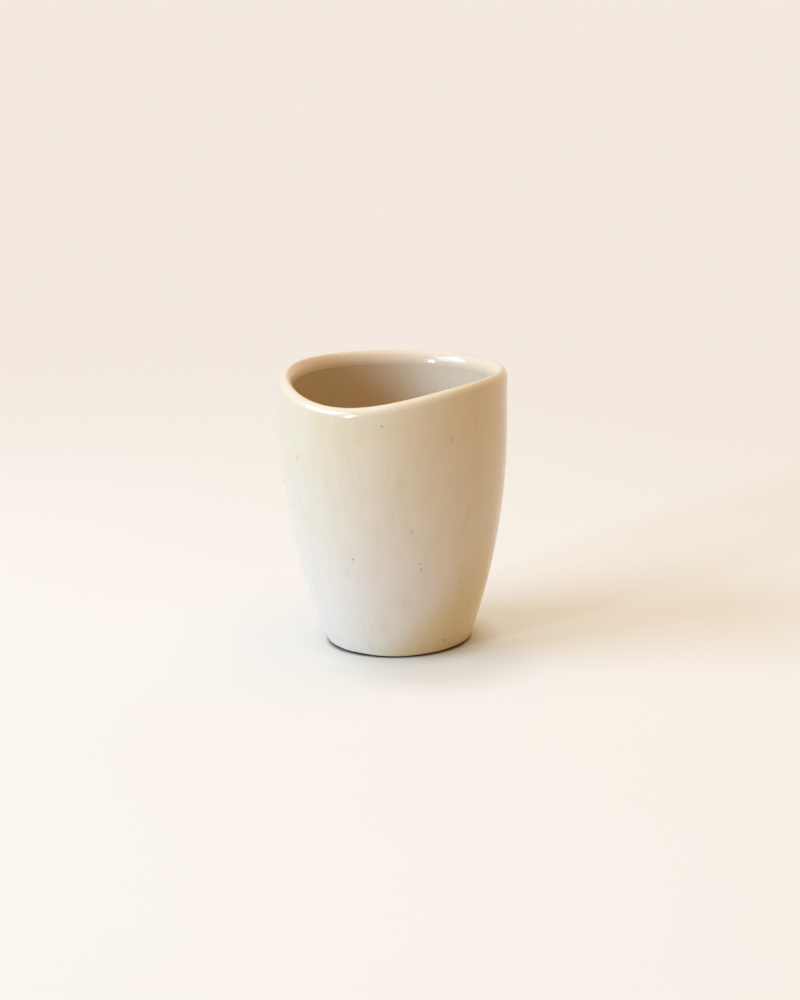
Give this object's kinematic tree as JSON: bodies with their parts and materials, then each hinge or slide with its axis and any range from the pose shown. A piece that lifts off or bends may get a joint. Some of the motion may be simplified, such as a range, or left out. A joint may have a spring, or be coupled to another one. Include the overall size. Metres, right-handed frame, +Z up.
{
  "type": "espresso cup",
  "caption": "Handleless glazed stoneware espresso cup with a tapered body, a trimmed foot ring and a rounded lip scooped down on one side.",
  "frame": {"origin": "middle of the foot ring, on the plane that it stands on", "axes": "+Z up along the cup's axis; +X to the right and -Y to the front, with the scoop in the lip at the front and left"},
  "size_m": [0.056, 0.056, 0.0688],
  "materials": {
    "stoneware": "bare fired stoneware, matte and slightly gritty",
    "outer_glaze": "glossy oatmeal glaze with fine specks and faint upright streaks",
    "liner_glaze": "glossy cream liner with fine specks",
    "lip_glaze": "glossy glaze that thins to a warm pale line over the lip"
  },
  "bodies": {
    "root": {"clay_body": "stoneware", "outer_glaze": "outer_glaze", "inner_glaze": "liner_glaze", "lip_glaze": "lip_glaze"}
  },
  "joints": []
}
